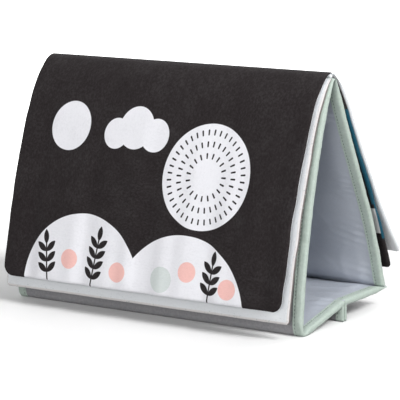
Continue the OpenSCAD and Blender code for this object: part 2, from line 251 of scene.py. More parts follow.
def mixColours(tree, share, first, second):  # 6 and 7 are the node's inputs for colours
    node = tree.nodes.new("ShaderNodeMix")
    node.data_type = "RGBA"
    feed(tree, node, {0: share, 6: first, 7: second})
    return node.outputs[2]


def tinted(tree, colour, times, plus):
    node = tree.nodes.new("ShaderNodeVectorMath")
    node.operation = "MULTIPLY_ADD"
    feed(tree, node, {0: colour, 1: (times,) * 3, 2: (plus,) * 3})
    return node.outputs[0]


def noiseOver(tree, place, scale, detail):
    node = tree.nodes.new("ShaderNodeTexNoise")
    feed(tree, node, {"Vector": place, "Scale": scale, "Detail": detail})
    return node.outputs["Fac"]


def shaderPlace(tree, attribute):  # a piece's own cloth coordinates, or its place in the frame
    if attribute:
        node = tree.nodes.new("ShaderNodeAttribute")
        node.attribute_name = attribute
        return node.outputs["Vector"]
    return tree.nodes.new("ShaderNodeTexCoord").outputs["Object"]


def splitPlace(tree, place):
    node = tree.nodes.new("ShaderNodeSeparateXYZ")
    tree.links.new(place, node.inputs[0])
    return node.outputs


def clothMaterial(name, finish, colouring=None):
    material = bpy.data.materials.new(name)
    material.use_nodes = True
    tree = material.node_tree
    shader = tree.nodes["Principled BSDF"]
    place = shaderPlace(tree, finish.get("place", "cloth"))
    u, v, _ = splitPlace(tree, place)
    turn = math.pi / finish["weavePitch"]
    if finish.get("twill"):
        first, second = calc(tree, "ADD", u, v), calc(tree, "SUBTRACT", u, v)
    else:
        first, second = u, v
    warp = calc(tree, "SINE", calc(tree, "MULTIPLY", first, turn))
    weft = calc(tree, "SINE", calc(tree, "MULTIPLY", second, turn))
    weave = calc(tree, "SQRT", calc(tree, "ABSOLUTE", calc(tree, "MULTIPLY", warp, weft)))
    slub = noiseOver(tree, place, finish["slubScale"], detail=2)
    patch = noiseOver(tree, place, finish["patchScale"], detail=3)

    base, shade, light = finish["colour"], finish["shade"], finish["light"]
    if colouring:
        base = colouring(tree)
        shade, light = tinted(tree, base, *inkShade), tinted(tree, base, *inkLight)
    fleck = noiseOver(tree, place, finish["fleckScale"], detail=1)
    lift = finish["weaveShade"] * finish["weaveEven"]
    uneven = calc(tree, "MULTIPLY_ADD", weave, -finish["weaveShade"], lift)
    for noise, strength in ((patch, "patchShade"), (slub, "slubShade"), (fleck, "fleckShade")):
        uneven = calc(tree, "MULTIPLY_ADD", calc(tree, "SUBTRACT", noise, 0.5), finish[strength], uneven)
    low = calc(tree, "MAXIMUM", uneven, 0.0)
    high = calc(tree, "MAXIMUM", calc(tree, "MULTIPLY", uneven, -1.0), 0.0)
    colour = mixColours(tree, high, mixColours(tree, low, base, shade), light)

    slubHeight = calc(tree, "MULTIPLY", slub, finish["slubDepth"])
    height = calc(tree, "MULTIPLY_ADD", weave, finish["weaveDepth"], slubHeight)
    bump = tree.nodes.new("ShaderNodeBump")
    feed(tree, bump, {"Distance": 1, "Strength": 1, "Height": height})
    slubShift = calc(tree, "SUBTRACT", slub, 0.5)
    rough = calc(tree, "MULTIPLY_ADD", slubShift, finish["roughSpread"], finish["roughness"])
    feed(tree, shader, {
        "Base Color": colour, "Normal": bump.outputs["Normal"], "Roughness": rough,
        "Specular IOR Level": finish["specular"], "Sheen Weight": finish["sheen"],
        "Sheen Roughness": finish["sheenRoughness"],
    })
    return material


# Darker and lighter threads of a printed field: its own colour times the first number, plus the second
inkShade = (0.87, -0.010)
inkLight = (1.0, 0.030)
plainCloth = {
    "weavePitch": 0.00055, "weaveShade": 0.16, "weaveEven": 0.6, "weaveDepth": 0.00006,
    "fleckScale": 1400, "fleckShade": 0.9, "slubScale": 420, "slubShade": 1.3, "slubDepth": 0.00012,
    "patchScale": 45, "patchShade": 0.8,
    "roughness": 0.86, "roughSpread": 0.25, "specular": 0.25, "sheen": 0.04, "sheenRoughness": 0.5,
}
blackFinish = {**plainCloth, "colour": (0.0205, 0.0168, 0.0176), "shade": (0.0075, 0.006, 0.0065),
               "light": (0.050, 0.043, 0.045), "specular": 0.12, "sheen": 0.02}
whiteFinish = {**plainCloth, "colour": (0.74, 0.76, 0.78), "shade": (0.60, 0.63, 0.66),
               "light": (0.83, 0.83, 0.84), "slubShade": 1.0}
paleFinish = {**plainCloth, "colour": (0.85, 0.87, 0.89), "shade": (0.74, 0.78, 0.82),
              "light": (0.90, 0.90, 0.91), "slubShade": 1.0}
greyFinish = {**plainCloth, "colour": (0.325, 0.32, 0.335), "shade": (0.21, 0.21, 0.22),
              "light": (0.43, 0.43, 0.44)}
liningFinish = {**plainCloth, "colour": (0.47, 0.50, 0.56), "shade": (0.35, 0.38, 0.44),
                "light": (0.59, 0.61, 0.66), "weavePitch": 0.0004, "weaveDepth": 0.00002,
                "roughness": 0.40, "roughSpread": 0.16, "specular": 0.5, "sheen": 0.0,
                "slubDepth": 0.00004, "slubShade": 0.5, "fleckShade": 0.4, "patchScale": 18}
tapeFinish = {**plainCloth, "colour": (0.472, 0.553, 0.497), "shade": (0.33, 0.40, 0.36),
              "light": (0.58, 0.655, 0.60), "twill": True, "weavePitch": 0.0006, "weaveDepth": 0.00007,
              "patchScale": 60, "patchShade": 0.8, "sheen": 0.08, "slubShade": 1.1}
threadFinish = {**plainCloth, "colour": (0.17, 0.21, 0.185), "shade": (0.11, 0.14, 0.12),
                "light": (0.24, 0.29, 0.26), "weavePitch": 0.0004}
boardFinish = {**plainCloth, "place": "", "colour": (0.35, 0.27, 0.18), "shade": (0.25, 0.19, 0.12),
               "light": (0.45, 0.36, 0.25), "weaveDepth": 0.0, "weaveShade": 0.0, "sheen": 0.0}
stripFinish = {**plainCloth, "place": "", "colour": (0.72, 0.72, 0.68), "shade": (0.55, 0.55, 0.52),
               "light": (0.85, 0.85, 0.82), "weavePitch": 0.0012, "weaveDepth": 0.0003, "sheen": 0.2}


# Print on the front cover, in millimetres from its middle and its lower edge
# A disc is its middle and its radius, and a sprig its foot, its lean and its pairs of leaflets
coverPrint = {
    "perMetre": 1000, "bigMoon": (56, 103, 44), "smallMoon": (-94, 135, 21),
    "cloud": [(-44, 132, 13), (-24, 138, 18), (-3, 133, 14)],
    "hills": [(-62, 0, 62), (44, -12, 66)],
    "dots": [(-75, 22, 8.5), (-22, 16, 8.5), (50, 24, 8.5), (92, 14, 8.5)],
    "greyDisc": (24, 15, 11),
    "rings": (0.84, 0.62, 0.4), "outerDashes": 40, "dash": (5, 1.5),
    "sprigs": [(-97, 2, -8, 3), (-50, 1, 7, 4), (72, 1, 6, 3)],
    "leaflet": (13, 5.5), "leafletAngle": 48, "sprigStep": 9, "softness": 0.30,
    "pale": (0.84, 0.84, 0.88), "pink": (0.90, 0.54, 0.50), "grey": (0.67, 0.72, 0.71),
}


def insideOf(tree, distance, radius):  # 1 where the distance is below the radius, with a soft edge
    edge = calc(tree, "SUBTRACT", radius, distance)
    return calc(tree, "MULTIPLY_ADD", edge, 1 / coverPrint["softness"], 0.5, clamp=True)


def distanceTo(tree, u, v, x, y):
    du, dv = calc(tree, "SUBTRACT", u, x), calc(tree, "SUBTRACT", v, y)
    squares = calc(tree, "ADD", calc(tree, "MULTIPLY", du, du), calc(tree, "MULTIPLY", dv, dv))
    return calc(tree, "SQRT", squares)


def discOf(tree, u, v, disc):
    return insideOf(tree, distanceTo(tree, u, v, disc[0], disc[1]), disc[2])


def unionOf(tree, masks):
    total = masks[0]
    for mask in masks[1:]:
        total = calc(tree, "MAXIMUM", total, mask)
    return total


def dashRings(tree, u, v):
    x, y, moonRadius = coverPrint["bigMoon"]
    length, width = coverPrint["dash"]
    reach = distanceTo(tree, u, v, x, y)
    angle = calc(tree, "ARCTAN2", calc(tree, "SUBTRACT", v, y), calc(tree, "SUBTRACT", u, x))
    masks = []
    for share in coverPrint["rings"]:
        count = round(coverPrint["outerDashes"] * share / coverPrint["rings"][0])
        turns = calc(tree, "MULTIPLY_ADD", angle, count / math.tau, -count / 4 - share)
        apart = calc(tree, "SUBTRACT", turns, calc(tree, "ROUND", turns))
        sideways = calc(tree, "MULTIPLY", apart, math.tau / count * moonRadius * share)
        outward = calc(tree, "ABSOLUTE", calc(tree, "SUBTRACT", reach, moonRadius * share))
        outward = calc(tree, "MAXIMUM", calc(tree, "SUBTRACT", outward, (length - width) / 2), 0.0)
        masks.append(insideOf(tree, distanceTo(tree, sideways, outward, 0, 0), width / 2))
    return masks


def turned(tree, u, v, degrees):
    c, s = math.cos(math.radians(degrees)), math.sin(math.radians(degrees))
    across = calc(tree, "ADD", calc(tree, "MULTIPLY", u, c), calc(tree, "MULTIPLY", v, -s))
    up = calc(tree, "ADD", calc(tree, "MULTIPLY", u, s), calc(tree, "MULTIPLY", v, c))
    return across, up


def leafletMask(tree, u, v):  # the overlap of two circles, from the origin upwards
    length, width = coverPrint["leaflet"]
    radius = (length ** 2 + width ** 2) / (4 * width)
    far = calc(tree, "ADD", calc(tree, "ABSOLUTE", u), radius - width / 2)
    return insideOf(tree, distanceTo(tree, far, v, 0, length / 2), radius)


def sprigMasks(tree, u, v, sprig):
    footX, footY, lean, pairs = sprig
    step, width = coverPrint["sprigStep"], coverPrint["leaflet"][1]
    across, up = turned(tree, calc(tree, "SUBTRACT", u, footX), calc(tree, "SUBTRACT", v, footY), lean)
    mirrored = calc(tree, "ABSOLUTE", across)
    middle = (pairs + 1) * step / 2
    fromMiddle = calc(tree, "ABSOLUTE", calc(tree, "SUBTRACT", up, middle))
    past = calc(tree, "MAXIMUM", calc(tree, "SUBTRACT", fromMiddle, middle), 0.0)
    masks = [insideOf(tree, distanceTo(tree, across, past, 0, 0), coverPrint["dash"][1] / 2)]
    for pair in range(1, pairs + 1):
        raised = calc(tree, "SUBTRACT", up, pair * step - width / 2)
        masks.append(leafletMask(tree, *turned(tree, mirrored, raised, coverPrint["leafletAngle"])))
    masks.append(leafletMask(tree, across, calc(tree, "SUBTRACT", up, (pairs + 1) * step - width)))
    return masks


def coverColouring(tree):
    x, _, z = splitPlace(tree, shaderPlace(tree, "printPlace"))
    perMetre = coverPrint["perMetre"]
    u, v = calc(tree, "MULTIPLY", x, perMetre), calc(tree, "MULTIPLY", z, perMetre)
    discs = [coverPrint["bigMoon"], coverPrint["smallMoon"], *coverPrint["cloud"], *coverPrint["hills"]]
    pale = unionOf(tree, [discOf(tree, u, v, disc) for disc in discs])
    pink = unionOf(tree, [discOf(tree, u, v, disc) for disc in coverPrint["dots"]])
    marks = dashRings(tree, u, v)
    for sprig in coverPrint["sprigs"]:
        marks += sprigMasks(tree, u, v, sprig)
    dark = unionOf(tree, marks)
    colour = mixColours(tree, pale, blackFinish["colour"], coverPrint["pale"])
    colour = mixColours(tree, discOf(tree, u, v, coverPrint["greyDisc"]), colour, coverPrint["grey"])
    colour = mixColours(tree, pink, colour, coverPrint["pink"])
    return mixColours(tree, dark, colour, blackFinish["colour"])


# Back page: a teal band round its side edges, and a light block at each side of its front
backPrint = {
    "border": 0.011, "borderUp": 0.029, "borderDown": 0.030, "blockWide": 0.022, "blockHigh": 0.024,
    "blockUp": 0.034, "rimStart": 0.0010, "rimAbove": 0.0026, "rimGap": 0.004, "soft": 0.0003,
    "teal": (0.012, 0.078, 0.120), "pale": (0.66, 0.66, 0.67),
}


def between(tree, value, low, high):
    middle, half = (low + high) / 2, (high - low) / 2
    away = calc(tree, "ABSOLUTE", calc(tree, "SUBTRACT", value, middle))
    inside = calc(tree, "SUBTRACT", half, away)
    return calc(tree, "MULTIPLY_ADD", inside, 1 / backPrint["soft"], 0.5, clamp=True)


def sideBands(tree, wide, low, high):
    x, _, z = splitPlace(tree, shaderPlace(tree, "printPlace"))
    half = boxOf("back_page")[1][0]
    side = calc(tree, "ABSOLUTE", x)
    return calc(tree, "MULTIPLY", between(tree, side, half - wide, half * 2), between(tree, z, low, high))


def tealBand(tree, wide):
    top = ridge[1] - backPrint["borderDown"] - boxOf("back_page")[0][2]
    return sideBands(tree, wide, backPrint["borderUp"], top)


def backPageFront(tree):
    low = backPrint["blockUp"]
    high = low + backPrint["blockHigh"]
    block = sideBands(tree, backPrint["blockWide"], low, high)
    colour = mixColours(tree, block, blackFinish["colour"], backPrint["pale"])
    top = ridge[1] - backPrint["borderDown"] - boxOf("back_page")[0][2]
    above = sideBands(tree, backPrint["rimAbove"], high + backPrint["rimGap"], top)
    teal = calc(tree, "MAXIMUM", tealBand(tree, backPrint["rimStart"]), above)
    return mixColours(tree, teal, colour, backPrint["teal"])


def backPageRear(tree):
    return mixColours(tree, tealBand(tree, backPrint["border"]), blackFinish["colour"], backPrint["teal"])


# Front page: bluish white, with a warmer turned edge, a painted shadow (a dark brown line along its side edges,
# standing in for the shade in the gap to the tape) and small specks beside it
pageEdge = {
    "wide": 0.0024, "soft": 0.0006, "warm": (0.69, 0.665, 0.66),
    # The next line sets the width, softness, side band and dark colour of the painted shadow line along the
    # side edges
    "seam": 0.0006, "shadowSoft": 0.0003, "shadowBand": 0.002, "shadowColour": (0.16, 0.14, 0.135),
    "speck": (0.42, 0.47, 0.47), "speckScale": 520, "speckFrom": 0.66, "speckSharp": 14,
    "speckBand": 0.007,
}


def fadeBelow(tree, value, limit, soft):  # 0 from the limit up, 1 where the value is lower by soft
    return calc(tree, "MULTIPLY_ADD", value, -1 / soft, limit / soft, clamp=True)


def frontPageColouring(tree):
    x, _, inward = splitPlace(tree, shaderPlace(tree, "cloth"))
    shadowSoft = pageEdge["shadowSoft"]
    edge = fadeBelow(tree, inward, pageEdge["wide"], pageEdge["soft"])
    shadowFrom = (boxOf("front_page")[1][0] - pageEdge["shadowBand"]) / shadowSoft
    beside = calc(tree, "MULTIPLY_ADD", calc(tree, "ABSOLUTE", x), 1 / shadowSoft, -shadowFrom, clamp=True)
    # Painted shadow: a dark brown line along the side rims stands in for the shade in the gap between the page
    # and the tape
    paintedShadow = calc(tree, "MULTIPLY", fadeBelow(tree, inward, pageEdge["seam"], shadowSoft), beside)
    colour = mixColours(tree, edge, whiteFinish["colour"], pageEdge["warm"])
    colour = mixColours(tree, paintedShadow, colour, pageEdge["shadowColour"])
    noise = noiseOver(tree, shaderPlace(tree, "cloth"), pageEdge["speckScale"], detail=1)
    sharp = pageEdge["speckSharp"]
    speck = calc(tree, "MULTIPLY_ADD", noise, sharp, -sharp * pageEdge["speckFrom"], clamp=True)
    nearEdge = fadeBelow(tree, inward, pageEdge["speckBand"], pageEdge["speckBand"])
    return mixColours(tree, calc(tree, "MULTIPLY", speck, nearEdge), colour, pageEdge["speck"])


blackCloth = clothMaterial("blackCloth", blackFinish)
whiteCloth = clothMaterial("whiteCloth", whiteFinish)
paleCloth = clothMaterial("paleCloth", paleFinish)
greyCloth = clothMaterial("greyCloth", greyFinish)
liningCloth = clothMaterial("liningCloth", liningFinish)
mintTape = clothMaterial("mintTape", tapeFinish)
mintThread = clothMaterial("mintThread", threadFinish)
greyBoard = clothMaterial("greyBoard", boardFinish)
fastenerStrip = clothMaterial("fastenerStrip", stripFinish)
printedCover = clothMaterial("printedCover", blackFinish, coverColouring)
edgedPage = clothMaterial("edgedPage", whiteFinish, frontPageColouring)
blockPage = clothMaterial("blockPage", blackFinish, backPageFront)
borderPage = clothMaterial("borderPage", blackFinish, backPageRear)
print("materials ready")


# Ridge seam: a rolled cord of cloth that everything is sewn to
seam = {"reach": 0.0035, "radius": 0.0020, "inset": 0.0034, "around": 24, "rings": 60, "plainFrom": 0.006,
        "ends": np.array([0, 0.0002, 0.0006, 0.0012, 0.002]), "lumps": 0.05, "lumpSize": 0.006, "seed": 3}


def ridgeRoll():
    half, ends = standHalf - seam["inset"], seam["ends"]
    plain = half - seam["plainFrom"]
    across = np.concatenate([-half + ends, np.linspace(-plain, plain, seam["rings"]), half - ends[::-1]])
    shrink = roundedOff(half - np.abs(across), ends[-1])
    turn = np.linspace(0, math.tau, seam["around"] + 1)
    noise = softNoise(across[:, None], turn[None] * seam["radius"], seam["lumpSize"], seam["seed"])
    lumps = 1 + seam["lumps"] * noise
    radius = seam["radius"] * shrink[:, None] * lumps
    radius[:, -1] = radius[:, 0]
    points = np.stack([np.broadcast_to(across[:, None], radius.shape), ridge[0] + radius * np.sin(turn),
                       ridge[1] - radius * np.cos(turn)], axis=-1)
    girth = np.broadcast_to(turn * seam["radius"], radius.shape)
    cloth = np.stack([points[..., 0], girth, radius * 0], axis=-1)
    piece = makePiece("ridgeRoll", points, gridQuads(*radius.shape), cloth, [whiteCloth])
    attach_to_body(piece, "front_stand")
    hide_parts("ridge_seam")


# Leaves: two faces that meet in a turned edge, with the wadding between them
edgeSteps = [0, 0.0001, 0.0003, 0.0006, 0.001, 0.0015, 0.0021, 0.0028, 0.0037, 0.005, 0.0068]


def leafPiece(name, leaf, line, materials):
    low, high = boxOf(leaf["node"])
    half, radius = (high[0] - low[0]) / 2, leaf["corner"]
    length = lengthsAlong(line)[-1]
    across = crowdedPlaces(half * 2, edgeSteps, edgeSteps, leaf["pitch"]) - half
    places = crowdedPlaces(length, np.linspace(0, *leaf["rootSteps"]), edgeSteps, leaf["pitch"])
    over = np.clip(places - (length - radius), 0, radius)
    halfAt = half - radius + np.sqrt(radius ** 2 - over ** 2)
    x = np.outer(halfAt / half, across)
    t = np.broadcast_to(places[:, None], x.shape)

    cornerX, cornerT = np.abs(x) - (half - radius), t - (length - radius)
    rim = np.minimum(half - np.abs(x), length - t)
    rim = np.where((cornerX > 0) & (cornerT > 0), radius - np.hypot(cornerX, cornerT), rim).clip(0)
    roll = roundedOff(rim, leaf["rollRadius"])
    grown = eased((t - leaf["thinUntil"]) / leaf["growOver"])
    thick = (leaf["seamHalf"] + (leaf["half"] - leaf["seamHalf"]) * grown) * roll
    thick = thick * (1 + leaf["puff"] * softNoise(x, t, leaf["puffSize"], leaf["seed"]) * grown)

    down = t / length
    bend = leaf["sideways"] * (x / half) * down
    for pitch, height, phase, slant in leaf["ripples"]:
        wave = np.sin(math.tau * (x / pitch + slant * t) + phase)
        bend = bend + height * wave * down ** leaf["ripplePower"]
    atRim = np.exp(-rim / leaf["crumpleSize"])
    bend = bend + leaf["crumple"] * softNoise(x, t, leaf["crumpleSize"], leaf["seed"] + 1) * atRim * grown
    bend = bend + leaf["swell"] * softNoise(x, t, leaf["swellSize"], leaf["seed"] + 2) * grown
    wobble = leaf["wobble"] * softNoise(t, np.sign(x), leaf["wobbleSize"], leaf["seed"] + 3)
    x = x + np.sign(x) * wobble * (np.abs(x) / half) ** leaf["wobblePower"]

    piece = slabPiece(name, line, places, x, (bend - thick, bend + thick), materials, rim)
    rest = np.array([vertex.co for vertex in piece.data.vertices])
    rest[:, 2] -= low[2]
    spot = piece.data.attributes.new("printPlace", "FLOAT_VECTOR", "POINT")
    spot.data.foreach_set("vector", rest.astype(np.float32).ravel())
    return piece


# fall: angle at the seam, angle as it hangs, how far it straightens towards its foot, and how late
# ripples: pitch, height, phase and slant of each; sleeve: how a leaf wraps over the ridge
leafBase = {
    "corner": 0.009, "pitch": 0.0021, "rollRadius": 0.0026, "half": 0.002, "seamHalf": 0.0004,
    "thinUntil": 0.0, "growOver": 0.020, "rootSteps": (0.03, 31), "puff": 0.10, "puffSize": 0.03,
    "ripplePower": 1.3, "crumple": 0.0003, "crumpleSize": 0.012, "swell": 0.00015, "swellSize": 0.035,
    "wobble": 0.0005, "wobbleSize": 0.02, "wobblePower": 6, "sideways": 0.0, "fill": 0.35,
}
frontCover = {
    **leafBase, "node": "front_cover", "slot": "black_cloth",
    "prints": ["print_pale_fields", "print_dark_marks", "print_pink_dots", "print_grey_disc"],
    "fall": (-80, -25.3, -15.5, 1), "shoulder": 0.017, "length": 0.208, "sideways": -0.0022,
    "thinUntil": 0.003, "turnFrom": (0, 0.003), "turnTo": (-0.010, -0.001), "seed": 11,
    "ripples": [(0.062, 0.0010, 0.4, 0.6), (0.031, 0.0006, 1.7, -0.8), (0.019, 0.00022, 2.6, 0.5)],
    "sleeve": {"radius": 0.0031, "turn": (-205, -172), "joinAt": 0.015},
}
frontPage = {
    **leafBase, "node": "front_page", "slot": "white_cloth",
    "fall": (-60, -25, -15.7, 1), "shoulder": 0.0112, "length": 0.212, "corner": 0.0035,
    "sideways": -0.0004, "seed": 23,
    "ripples": [(0.080, 0.0003, 0.9, 0.5), (0.034, 0.00015, 0.2, -0.6)],
}
backPage = {
    **leafBase, "node": "back_page", "slot": "black_cloth",
    "prints": ["back_page_border", "back_page_block"],
    "fall": (47, 29.8, 12, 6), "shoulder": 0.0128, "length": 0.205, "corner": 0.0035, "seed": 37,
    "ripples": [(0.090, 0.0004, 2.1, 0.5), (0.041, 0.0002, 0.7, -0.7)],
}
backCover = {
    **leafBase, "node": "back_cover", "slot": "pale_cloth", "fall": (66, 29.5, -10.5, 2.4),
    "shoulder": 0.0128, "length": 0.206, "corner": 0.0035, "thinUntil": 0.002, "seed": 51,
    "ripples": [(0.070, 0.0007, 1.1, 0.6), (0.036, 0.0003, 2.9, -0.5)],
    "sleeve": {"radius": 0.0026, "turn": (150, 140), "joinAt": 0.012},
}


def hangLeaf(name, leaf, materials):
    line = leafLine(leaf)
    if "sleeve" in leaf:
        line = overRidge(line, leaf["sleeve"])
    piece = leafPiece(name, leaf, line, materials)
    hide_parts(leaf["node"], *leaf.get("prints", []))
    return piece


def hangLeaves():
    cover = hangLeaf("coverLeaf", frontCover, [printedCover, whiteCloth])
    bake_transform(cover)
    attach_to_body(hangLeaf("frontPage", frontPage, [edgedPage]), "front_stand")
    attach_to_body(hangLeaf("backPage", backPage, [blockPage, borderPage]), "rear_stand")
    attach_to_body(hangLeaf("backCover", backCover, [paleCloth]), "back_leaf")


# Stand: panels of outer cloth, board and lining, bound with tape along their sides
stand = {
    "clothHalf": 0.0022, "clothThick": 0.0011, "clothInset": 0.0002, "pitch": 0.0024, "placePitch": 0.0015,
    "tapeHalf": 0.0030, "tapeThick": 0.0008, "tapeWide": 0.009,
    "seamShare": 0.2, "seamRun": 0.020, "pinch": 0.52, "pinchRun": 0.006,
    "foldShare": 0.22, "foldRun": 0.018, "foldPower": 1.2,
    "frontDirection": -38, "rearDirection": 22, "frontBulge": 0.0115, "frontShape": (1, 1.2),
    "rearBulge": -0.0044, "rearShape": (1.45, 4), "rearInset": 0.004, "rearRise": 0.0016,
    "reach": 0.0024, "finHigh": 0.0134, "finGap": 0.0001, "floor": 0.00005,
    "frontBasePoints": 40, "rearBasePoints": 60, "clothEnd": 0.0003,
}
# Front fold: where the panel ends and the base starts, what lies between, and where the cloth bends
frontCorner = {"panelAbove": 0.0085, "baseFrom": 0.006, "between": [(-0.0006, 0.0014), (0.0048, 0.0012)],
               "foldAt": 0.42, "turnFrom": (0, 0.0030, 0.0035), "turnTo": (0, 0.0085, 0.0020)}
# Rear fold: the cloth runs on past the panel's foot to the edge, and thins out there
rearFlange = {"panelAbove": 0.004, "atFoot": (0.0002, -0.0002),
              "atTip": [(-0.0012, 0.0010), (0.0002, 0.0008)], "endShare": (0.12, 0.012)}
liningFolds = {
    "tapeGap": 0.0085, "rise": 0.012, "puff": 0.0006, "soft": 0.0007, "softSize": 0.045,
    "crease": 0.0009, "creaseSize": 0.034, "creaseSharp": 7, "creaseTurn": ((0.8, 0.5), (-0.35, 0.8)),
    "small": 0.00035, "smallSize": 0.021, "smallSharp": 5, "smallTurn": ((0.6, -0.7), (0.3, 1.0)),
    "pull": 0.0007, "pullPitch": 0.0085, "pullLong": 0.013, "pullLean": 0.35, "pullRise": 0.002,
    "pullStray": 0.006, "strayWide": 0.02, "strongWide": 0.018, "strongMore": 0.3,
    "belly": 0.0, "bellyUp": 0.008, "bellyLong": 0.009, "bellyIn": 0.04,
}
rearFolds = {**liningFolds, "belly": 0.0046, "bellyUp": 0.017, "bellyLong": 0.012, "pull": 0.0010}
baseFolds = {**liningFolds, "puff": 0.0008, "soft": 0.0012, "crease": 0.0016, "small": 0.0005}
outerFolds = {**liningFolds, "puff": 0.0003, "soft": 0.0003, "crease": 0.0002, "small": 0.0001,
              "pull": 0.0003}
finMiddle = (boxOf("fin_front_binding")[0][1] + boxOf("fin_rear_binding")[1][1]) / 2
finTop = np.array([finMiddle, stand["finHigh"] + stand["tapeHalf"]])
rearFoot = rearTip + (-stand["rearInset"], stand["rearRise"])


def frontLine():  # down the panel, round the fold, along the base to the fin
    start = ridge + stand["reach"] * heading(stand["frontDirection"])
    panel = panelLine(start, np.zeros(2), stand["frontBulge"], stand["frontShape"])
    base = np.linspace(frontFold, finTop - (stand["finGap"], 0), stand["frontBasePoints"])
    base = base[np.linalg.norm(base - frontFold, axis=1) > frontCorner["baseFrom"]]
    panel = panel[panel[:, 1] > frontCorner["panelAbove"]]
    corner = rounded([panel[-1], *frontCorner["between"], base[0]], times=5)
    foldAt = lengthsAlong(panel)[-1] + lengthsAlong(corner)[-1] * frontCorner["foldAt"]
    return np.concatenate([panel[:-1], corner, base[1:]]), foldAt


def rearPanelLine():
    start = ridge + stand["reach"] * heading(stand["rearDirection"])
    return panelLine(start, rearFoot, stand["rearBulge"], stand["rearShape"])


def shareAlong(places, pinchAt):  # how thick a panel is along its line: less at seam and fold
    grown = np.minimum(1, stand["seamShare"] + (1 - stand["seamShare"]) * places / stand["seamRun"])
    for at in pinchAt:
        grown = grown * (1 - (1 - stand["pinch"]) * np.exp(-((places - at) / stand["pinchRun"]) ** 2))
    return grown


def creases(x, t, folds, kind, seed):  # narrow ridges, where a turned noise passes through zero
    across, along = folds[f"{kind}Turn"]
    u, v = x * across[0] + t * across[1], x * along[0] + t * along[1]
    return folds[kind] * (1 - np.abs(softNoise(u, v, folds[f"{kind}Size"], seed))) ** folds[f"{kind}Sharp"]


def tapePulls(x, t, fromTape, folds, seed):  # short slanting puckers along the tape, uneven in strength
    side, beyond = np.sign(x), np.clip(fromTape, 0, None)
    stray = folds["pullStray"] * softNoise(t, side, folds["strayWide"], seed)
    place = t + folds["pullLean"] * side * fromTape + stray
    strong = np.clip(softNoise(t, side * 0.05, folds["strongWide"], seed + 1) + folds["strongMore"], 0, 1)
    pull = np.sin(math.tau * place / folds["pullPitch"]) * np.exp(-beyond / folds["pullLong"])
    return folds["pull"] * pull * strong * np.clip(fromTape / folds["pullRise"], 0, 1)


def clothFolds(x, t, half, folds, seed):  # how far the stretched cloth stands off its panel
    fromTape = half - folds["tapeGap"] - np.abs(x)
    inside = eased(fromTape / folds["rise"])
    soft = folds["puff"] + folds["soft"] * softNoise(x, t, folds["softSize"], seed)
    ridges = creases(x, t, folds, "crease", seed + 1) + creases(x, t, folds, "small", seed + 2)
    fromFoot = (t[-1] - t - folds["bellyUp"]) / folds["bellyLong"]
    belly = folds["belly"] * np.exp(-fromFoot ** 2) * np.clip(fromTape / folds["bellyIn"], 0, 1) ** 0.5
    return inside * (soft + ridges + belly) + tapePulls(x, t, fromTape, folds, seed + 3)


underTape = [0, 0.004, 0.0078, 0.0088, 0.01, 0.012]  # columns from the side in, close at the tape's edge


def clothLayer(name, line, share, side, material, folds, seed):
    length, endRadius = lengthsAlong(line)[-1], stand["clothEnd"]
    half = standHalf - stand["tapeThick"] - stand["clothInset"]
    across = crowdedPlaces(half * 2, underTape, underTape, stand["pitch"]) - half
    places = crowdedPlaces(length, [0], endRadius * np.array([0, 0.3, 1]), stand["placePitch"])
    end = roundedOff(length - places, endRadius)[:, None]
    x = np.broadcast_to(across, (len(places), len(across)))
    t = np.broadcast_to(places[:, None], x.shape)
    scale = np.interp(places, *share)[:, None]
    loft = clothFolds(x, t, half, folds, seed) * scale
    outer = stand["clothHalf"] * scale + loft
    inner = (stand["clothHalf"] - stand["clothThick"]) * scale + np.zeros_like(outer)
    middle = (outer + inner) / 2
    outer, inner = middle + (outer - middle) * end, middle + (inner - middle) * end
    piece = slabPiece(name, line, places, x, (side * inner, side * outer), [material])
    return piece, length


# Cross-section of the folded tape: how far in from the stand's side and how high above the panel's
# middle, as parts of the tape's width and of its half thickness
tapeSection = [
    (1.0, 0.75), (0.995, 0.90), (0.97, 0.96), (0.92, 0.965), (0.86, 0.93), (0.82, 0.865), (0.79, 0.85),
    (0.76, 0.87), (0.71, 0.94), (0.58, 0.985), (0.42, 1.0), (0.27, 0.985), (0.16, 0.93), (0.08, 0.79),
    (0.025, 0.52), (0.0, 0.18),
]
tapeLook = {
    "step": 0.0010, "liningFrom": 0.09, "liningHigh": 0.70, "stitchAt": 0.79, "grooveWide": 0.10,
    "pucker": 0.00021, "lump": 0.00018, "lumpSize": 0.0045, "crumple": 0.00016, "crumpleSize": 0.0022,
    "wander": 0.0002, "wanderSize": 0.012, "wanderWide": 0.3,
}
thread = {"pitch": 0.0031, "long": 0.0021, "radius": 0.00034, "start": 0.004, "lift": 0.87, "sunk": 0.0001,
          "around": 6, "rows": 5, "thinEnd": 0.05}


def threadStitches(line, share, hand, half, wide):  # each stitch is a short spindle of thread
    length = lengthsAlong(line)[-1]
    starts = np.arange(thread["start"], length - thread["start"], thread["pitch"])
    count, rowCount = thread["around"], thread["rows"]
    ring = np.linspace(0, math.tau, count + 1)[:-1]
    rows = np.linspace(0, 1, rowCount)
    radius = thread["radius"] * np.sqrt(np.clip(1 - (2 * rows - 1) ** 2, thread["thinEnd"], 1))
    x = hand * (standHalf - tapeLook["stitchAt"] * wide)
    around = np.arange(count)
    after = (around + 1) % count
    points, quads = [], []
    for side in (-1, 1):
        for start in starts:
            place = start + rows * thread["long"]
            normal = normalsAt(line, place)
            lift = side * (half * thread["lift"] * np.interp(place, *share) - thread["sunk"])
            middle = pointsAt(line, place) + normal * lift[:, None]
            body = np.stack([x + radius[:, None] * np.cos(ring),
                             middle[:, :1] + normal[:, :1] * radius[:, None] * np.sin(ring),
                             middle[:, 1:] + normal[:, 1:] * radius[:, None] * np.sin(ring)], axis=-1)
            first = len(points) * count * rowCount
            for row in range(rowCount - 1):
                corners = np.stack([around, after, after + count, around + count], axis=1)
                quads.append(corners + first + row * count)
            points.append(body.reshape(-1, 3))
    return np.concatenate(points), np.concatenate(quads)


